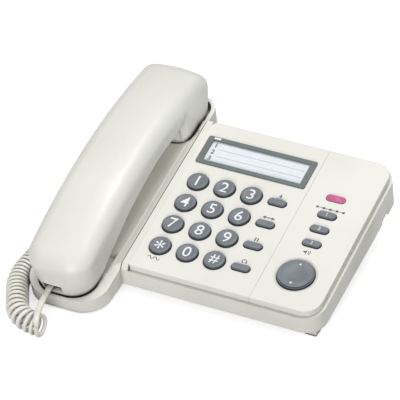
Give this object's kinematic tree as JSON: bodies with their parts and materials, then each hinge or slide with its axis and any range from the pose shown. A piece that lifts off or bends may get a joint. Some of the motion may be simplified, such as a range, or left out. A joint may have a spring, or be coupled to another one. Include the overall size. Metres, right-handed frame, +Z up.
{
  "type": "corded desk telephone",
  "caption": "Corded desk telephone with a sloping keypad, a name card window and a volume rocker; the handset lies front to back on a cradle, with a curly cord.",
  "frame": {"origin": "on the table, under the middle of the case and handset", "axes": "+X to the right as the user faces it, +Y away from the user, +Z up"},
  "size_m": [0.206, 0.2282, 0.0858],
  "materials": {
    "case_plastic": "fine satin",
    "panel_plastic": "fine satin",
    "handset_plastic": "smooth satin",
    "key_plastic": "satin",
    "volume_plastic": "satin",
    "frame_plastic": "satin",
    "card": "printed card",
    "clear_sheet": "clear",
    "lamp_plastic": "translucent",
    "led_resin": "clear resin",
    "mat_rubber": "silicone",
    "black_rubber": "matte",
    "steel": "zinc plated",
    "circuit_board": "solder mask",
    "black_plastic": "moulded",
    "jack_plastic": "moulded",
    "foam": "foam",
    "plug_resin": "clear resin",
    "cord_vinyl": "soft vinyl"
  },
  "bodies": {
    "base": {"upper_case": "case_plastic", "lower_case": "case_plastic", "desk_stand": "case_plastic", "rubber_feet": "black_rubber", "case_screws": "steel", "keypad_panel": "panel_plastic", "side_panel": "panel_plastic", "card_frame": "frame_plastic", "memo_card": "card", "card_cover": "clear_sheet", "lamp_lens": "lamp_plastic", "lamp_led": "led_resin", "key_mat": "mat_rubber", "side_key_mat": "mat_rubber", "main_board": "circuit_board", "board_parts": "black_plastic", "board_screws": "steel", "ringer_speaker": "black_plastic", "line_jack": "jack_plastic", "base_jack": "jack_plastic", "hook_spring": "steel", "hook_switch": "black_plastic", "handset_lead": "cord_vinyl", "curly_cord": "cord_vinyl", "base_lead": "cord_vinyl", "base_plug": "plug_resin"},
    "handset": {"handset_back": "handset_plastic", "handset_front": "handset_plastic", "receiver_capsule": "black_plastic", "receiver_gasket": "foam", "microphone_capsule": "black_plastic", "handset_weight": "steel", "handset_socket": "jack_plastic", "handset_screws": "steel", "handset_plug": "plug_resin"},
    "hook": {"hook_plunger": "case_plastic"},
    "key_1": {"key_1": "key_plastic"},
    "key_2": {"key_2": "key_plastic"},
    "key_3": {"key_3": "key_plastic"},
    "key_4": {"key_4": "key_plastic"},
    "key_5": {"key_5": "key_plastic"},
    "key_6": {"key_6": "key_plastic"},
    "key_7": {"key_7": "key_plastic"},
    "key_8": {"key_8": "key_plastic"},
    "key_9": {"key_9": "key_plastic"},
    "key_star": {"key_star": "key_plastic"},
    "key_0": {"key_0": "key_plastic"},
    "key_hash": {"key_hash": "key_plastic"},
    "function_key_1": {"function_key_1": "key_plastic"},
    "function_key_2": {"function_key_2": "key_plastic"},
    "function_key_3": {"function_key_3": "key_plastic"},
    "function_key_4": {"function_key_4": "key_plastic"},
    "one_touch_key_1": {"one_touch_key_1": "key_plastic"},
    "one_touch_key_2": {"one_touch_key_2": "key_plastic"},
    "one_touch_key_3": {"one_touch_key_3": "key_plastic"},
    "volume_rocker": {"volume_key": "volume_plastic"}
  },
  "joints": [
    {"name": "handset_lift", "type": "slide", "parent": "base", "child": "handset", "axis": [0, -0.2419, 0.9703], "range_m": [0, 0.1], "deforming": ["handset_lead", "curly_cord", "base_lead"]},
    {"name": "hook_rise", "type": "slide", "parent": "base", "child": "hook", "axis": [0, -0.2419, 0.9703], "range_m": [0, 0.004], "deforming": ["hook_spring"]},
    {"name": "key_1_press", "type": "slide", "parent": "base", "child": "key_1", "axis": [0, 0.2419, -0.9703], "range_m": [0, 0.0012], "stiffness_N_per_m": 400, "springref_m": -0.001},
    {"name": "key_2_press", "type": "slide", "parent": "base", "child": "key_2", "axis": [0, 0.2419, -0.9703], "range_m": [0, 0.0012], "stiffness_N_per_m": 400, "springref_m": -0.001},
    {"name": "key_3_press", "type": "slide", "parent": "base", "child": "key_3", "axis": [0, 0.2419, -0.9703], "range_m": [0, 0.0012], "stiffness_N_per_m": 400, "springref_m": -0.001},
    {"name": "key_4_press", "type": "slide", "parent": "base", "child": "key_4", "axis": [0, 0.2419, -0.9703], "range_m": [0, 0.0012], "stiffness_N_per_m": 400, "springref_m": -0.001},
    {"name": "key_5_press", "type": "slide", "parent": "base", "child": "key_5", "axis": [0, 0.2419, -0.9703], "range_m": [0, 0.0012], "stiffness_N_per_m": 400, "springref_m": -0.001},
    {"name": "key_6_press", "type": "slide", "parent": "base", "child": "key_6", "axis": [0, 0.2419, -0.9703], "range_m": [0, 0.0012], "stiffness_N_per_m": 400, "springref_m": -0.001},
    {"name": "key_7_press", "type": "slide", "parent": "base", "child": "key_7", "axis": [0, 0.2419, -0.9703], "range_m": [0, 0.0012], "stiffness_N_per_m": 400, "springref_m": -0.001},
    {"name": "key_8_press", "type": "slide", "parent": "base", "child": "key_8", "axis": [0, 0.2419, -0.9703], "range_m": [0, 0.0012], "stiffness_N_per_m": 400, "springref_m": -0.001},
    {"name": "key_9_press", "type": "slide", "parent": "base", "child": "key_9", "axis": [0, 0.2419, -0.9703], "range_m": [0, 0.0012], "stiffness_N_per_m": 400, "springref_m": -0.001},
    {"name": "key_star_press", "type": "slide", "parent": "base", "child": "key_star", "axis": [0, 0.2419, -0.9703], "range_m": [0, 0.0012], "stiffness_N_per_m": 400, "springref_m": -0.001},
    {"name": "key_0_press", "type": "slide", "parent": "base", "child": "key_0", "axis": [0, 0.2419, -0.9703], "range_m": [0, 0.0012], "stiffness_N_per_m": 400, "springref_m": -0.001},
    {"name": "key_hash_press", "type": "slide", "parent": "base", "child": "key_hash", "axis": [0, 0.2419, -0.9703], "range_m": [0, 0.0012], "stiffness_N_per_m": 400, "springref_m": -0.001},
    {"name": "function_key_1_press", "type": "slide", "parent": "base", "child": "function_key_1", "axis": [0, 0.2419, -0.9703], "range_m": [0, 0.0012], "stiffness_N_per_m": 400, "springref_m": -0.001},
    {"name": "function_key_2_press", "type": "slide", "parent": "base", "child": "function_key_2", "axis": [0, 0.2419, -0.9703], "range_m": [0, 0.0012], "stiffness_N_per_m": 400, "springref_m": -0.001},
    {"name": "function_key_3_press", "type": "slide", "parent": "base", "child": "function_key_3", "axis": [0, 0.2419, -0.9703], "range_m": [0, 0.0012], "stiffness_N_per_m": 400, "springref_m": -0.001},
    {"name": "function_key_4_press", "type": "slide", "parent": "base", "child": "function_key_4", "axis": [0, 0.2419, -0.9703], "range_m": [0, 0.0012], "stiffness_N_per_m": 400, "springref_m": -0.001},
    {"name": "one_touch_key_1_press", "type": "slide", "parent": "base", "child": "one_touch_key_1", "axis": [0, 0.2419, -0.9703], "range_m": [0, 0.0012], "stiffness_N_per_m": 400, "springref_m": -0.001},
    {"name": "one_touch_key_2_press", "type": "slide", "parent": "base", "child": "one_touch_key_2", "axis": [0, 0.2419, -0.9703], "range_m": [0, 0.0012], "stiffness_N_per_m": 400, "springref_m": -0.001},
    {"name": "one_touch_key_3_press", "type": "slide", "parent": "base", "child": "one_touch_key_3", "axis": [0, 0.2419, -0.9703], "range_m": [0, 0.0012], "stiffness_N_per_m": 400, "springref_m": -0.001},
    {"name": "volume_rock", "type": "hinge", "parent": "base", "child": "volume_rocker", "pos_m": [0.0687, -0.03306, 0.02702], "axis": [1, 0, 0], "range_deg": [-4, 4], "stiffness_Nm_per_rad": 0.03}
  ],
  "couplings": [
    {"joint": "hook_rise", "follows": "handset_lift", "ratio": 0.04}
  ]
}
